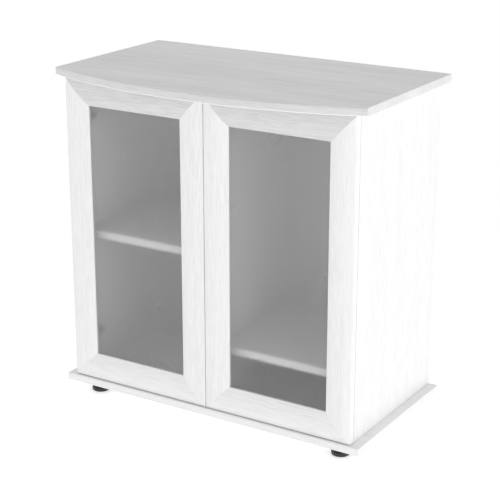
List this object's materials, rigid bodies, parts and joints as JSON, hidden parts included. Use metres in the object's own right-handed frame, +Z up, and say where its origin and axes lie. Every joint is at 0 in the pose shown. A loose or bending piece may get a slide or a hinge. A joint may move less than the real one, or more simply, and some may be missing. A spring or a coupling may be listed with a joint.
{
  "type": "aquarium stand cabinet",
  "caption": "Free-standing aquarium stand cabinet in white wood grain with a bow-fronted top, a pair of mitred-frame frosted glass doors, a centre divider, shelves and round feet.",
  "frame": {"origin": "on the floor, under the centre of the cabinet's overall box", "axes": "+Z up; the doors face -Y; +X is on the right of someone facing the doors"},
  "size_m": [0.81, 0.485, 0.81],
  "materials": {
    "white_ash_board": "satin white-washed ash melamine on chipboard, fine grain",
    "frosted_glass": "acid-etched frosted glass, 4 mm",
    "white_plastic": "matt extruded glazing bead",
    "nickel_steel": "nickel-plated pressed steel",
    "grey_plastic": "matt moulded grey plastic",
    "black_plastic": "matt moulded black plastic"
  },
  "bodies": {
    "carcass": {"back_panel": "white_ash_board", "bottom_panel": "white_ash_board", "centre_divider": "white_ash_board", "foot_back_left": "black_plastic", "foot_back_right": "black_plastic", "foot_front_left": "black_plastic", "foot_front_right": "black_plastic", "left_latch_body": "grey_plastic", "left_lower_hinge_arm": "nickel_steel", "left_lower_hinge_plate": "nickel_steel", "left_shelf": "white_ash_board", "left_shelf_pin_inner_back": "nickel_steel", "left_shelf_pin_inner_front": "nickel_steel", "left_shelf_pin_outer_back": "nickel_steel", "left_shelf_pin_outer_front": "nickel_steel", "left_side_panel": "white_ash_board", "left_upper_hinge_arm": "nickel_steel", "left_upper_hinge_plate": "nickel_steel", "right_latch_body": "grey_plastic", "right_lower_hinge_arm": "nickel_steel", "right_lower_hinge_plate": "nickel_steel", "right_shelf": "white_ash_board", "right_shelf_pin_inner_back": "nickel_steel", "right_shelf_pin_inner_front": "nickel_steel", "right_shelf_pin_outer_back": "nickel_steel", "right_shelf_pin_outer_front": "nickel_steel", "right_side_panel": "white_ash_board", "right_upper_hinge_arm": "nickel_steel", "right_upper_hinge_plate": "nickel_steel", "top_panel": "white_ash_board"},
    "left_door": {"left_door_bead_bottom_rail": "white_plastic", "left_door_bead_left_stile": "white_plastic", "left_door_bead_right_stile": "white_plastic", "left_door_bead_top_rail": "white_plastic", "left_door_bottom_rail": "white_ash_board", "left_door_left_stile": "white_ash_board", "left_door_pane": "frosted_glass", "left_door_right_stile": "white_ash_board", "left_door_top_rail": "white_ash_board", "left_lower_hinge_cup": "nickel_steel", "left_strike_plate": "nickel_steel", "left_upper_hinge_cup": "nickel_steel"},
    "right_door": {"right_door_bead_bottom_rail": "white_plastic", "right_door_bead_left_stile": "white_plastic", "right_door_bead_right_stile": "white_plastic", "right_door_bead_top_rail": "white_plastic", "right_door_bottom_rail": "white_ash_board", "right_door_left_stile": "white_ash_board", "right_door_pane": "frosted_glass", "right_door_right_stile": "white_ash_board", "right_door_top_rail": "white_ash_board", "right_lower_hinge_cup": "nickel_steel", "right_strike_plate": "nickel_steel", "right_upper_hinge_cup": "nickel_steel"},
    "left_latch_plunger": {"left_latch_plunger": "grey_plastic"},
    "left_lower_hinge_link": {"left_lower_hinge_link": "nickel_steel"},
    "left_upper_hinge_link": {"left_upper_hinge_link": "nickel_steel"},
    "right_latch_plunger": {"right_latch_plunger": "grey_plastic"},
    "right_lower_hinge_link": {"right_lower_hinge_link": "nickel_steel"},
    "right_upper_hinge_link": {"right_upper_hinge_link": "nickel_steel"}
  },
  "joints": [
    {"name": "left_door_hinge", "type": "hinge", "parent": "carcass", "child": "left_door", "pos_m": [-0.3751, -0.1578, 0.046], "axis": [0, 0, -1], "range_deg": [0, 95]},
    {"name": "left_lower_link_pivot", "type": "hinge", "parent": "carcass", "child": "left_lower_hinge_link", "pos_m": [-0.351, -0.1553, 0.148], "axis": [0, 0, 1], "range_deg": [0, 43]},
    {"name": "left_upper_link_pivot", "type": "hinge", "parent": "carcass", "child": "left_upper_hinge_link", "pos_m": [-0.351, -0.1553, 0.6905], "axis": [0, 0, 1], "range_deg": [0, 43]},
    {"name": "right_door_hinge", "type": "hinge", "parent": "carcass", "child": "right_door", "pos_m": [0.3751, -0.1578, 0.046], "axis": [0, 0, 1], "range_deg": [0, 95]},
    {"name": "right_lower_link_pivot", "type": "hinge", "parent": "carcass", "child": "right_lower_hinge_link", "pos_m": [0.351, -0.1553, 0.148], "axis": [0, 0, -1], "range_deg": [0, 43]},
    {"name": "right_upper_link_pivot", "type": "hinge", "parent": "carcass", "child": "right_upper_hinge_link", "pos_m": [0.351, -0.1553, 0.6905], "axis": [0, 0, -1], "range_deg": [0, 43]},
    {"name": "left_latch_push", "type": "slide", "parent": "carcass", "child": "left_latch_plunger", "axis": [0, 1, 0], "range_m": [0, 0.003], "stiffness_N_per_m": 300},
    {"name": "right_latch_push", "type": "slide", "parent": "carcass", "child": "right_latch_plunger", "axis": [0, 1, 0], "range_m": [0, 0.003], "stiffness_N_per_m": 300}
  ],
  "couplings": [
    {"joint": "left_lower_link_pivot", "follows": "left_door_hinge", "ratio": 0.45},
    {"joint": "left_upper_link_pivot", "follows": "left_door_hinge", "ratio": 0.45},
    {"joint": "right_lower_link_pivot", "follows": "right_door_hinge", "ratio": 0.45},
    {"joint": "right_upper_link_pivot", "follows": "right_door_hinge", "ratio": 0.45}
  ]
}
